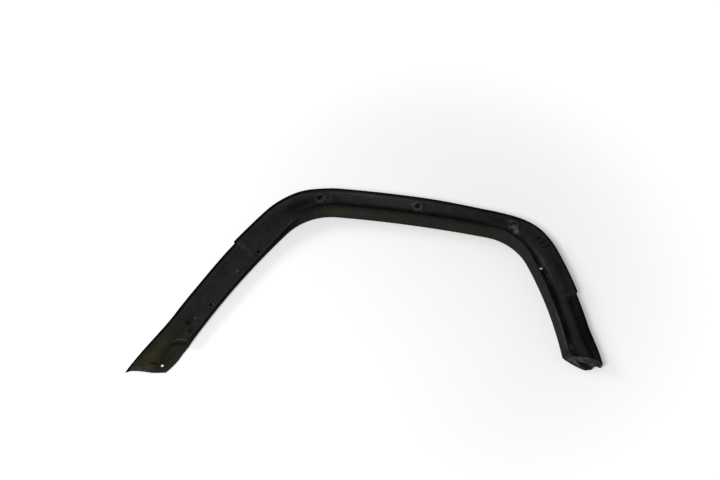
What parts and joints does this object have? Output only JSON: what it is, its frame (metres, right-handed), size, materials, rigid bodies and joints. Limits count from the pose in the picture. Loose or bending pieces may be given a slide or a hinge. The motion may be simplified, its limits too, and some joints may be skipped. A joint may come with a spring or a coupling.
{
  "type": "wheel arch fender flare",
  "caption": "Black plastic wheel arch flare seen from its back: a curved trim with a turned-in flange, clip bosses, a stepped outer lip and a flat tail.",
  "frame": {"origin": "under the middle of the outline, on the floor that the show face lies on", "axes": "+X along the car towards the bumper leg, +Y up on the car, +Z inboard, away from the show face"},
  "size_m": [0.9278, 0.481, 0.047],
  "materials": {
    "moulding": "fine grained, unpainted, dusty"
  },
  "bodies": {
    "root": {"flare_moulding": "moulding"}
  },
  "joints": []
}
